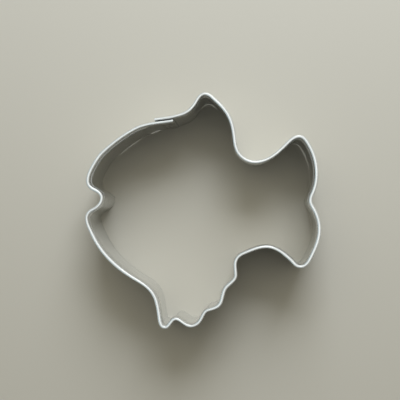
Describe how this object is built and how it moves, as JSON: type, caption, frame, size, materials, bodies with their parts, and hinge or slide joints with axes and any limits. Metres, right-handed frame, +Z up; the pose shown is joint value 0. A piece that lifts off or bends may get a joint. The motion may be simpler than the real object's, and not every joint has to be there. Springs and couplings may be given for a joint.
{
  "type": "cookie cutter",
  "caption": "Fish-shaped pastry cutter bent from one hemmed strip of bright sheet metal, its ends lapped and spot welded on the fish's back.",
  "frame": {"origin": "under the middle of the fish's outline, on the plane of the cutting edge", "axes": "+Z up, from the cutting edge to the hemmed rim; the fish faces -X, its tail is at +X, and its back and dorsal fin are towards +Y"},
  "size_m": [0.0754, 0.0754, 0.02],
  "materials": {
    "sheet": "bright rolled sheet metal, lightly brushed along the strip",
    "weld": "dull spot-weld mark, slightly heat tinted"
  },
  "bodies": {
    "root": {"band": "sheet", "spot_weld_lower": "weld", "spot_weld_middle": "weld", "spot_weld_upper": "weld"}
  },
  "joints": []
}
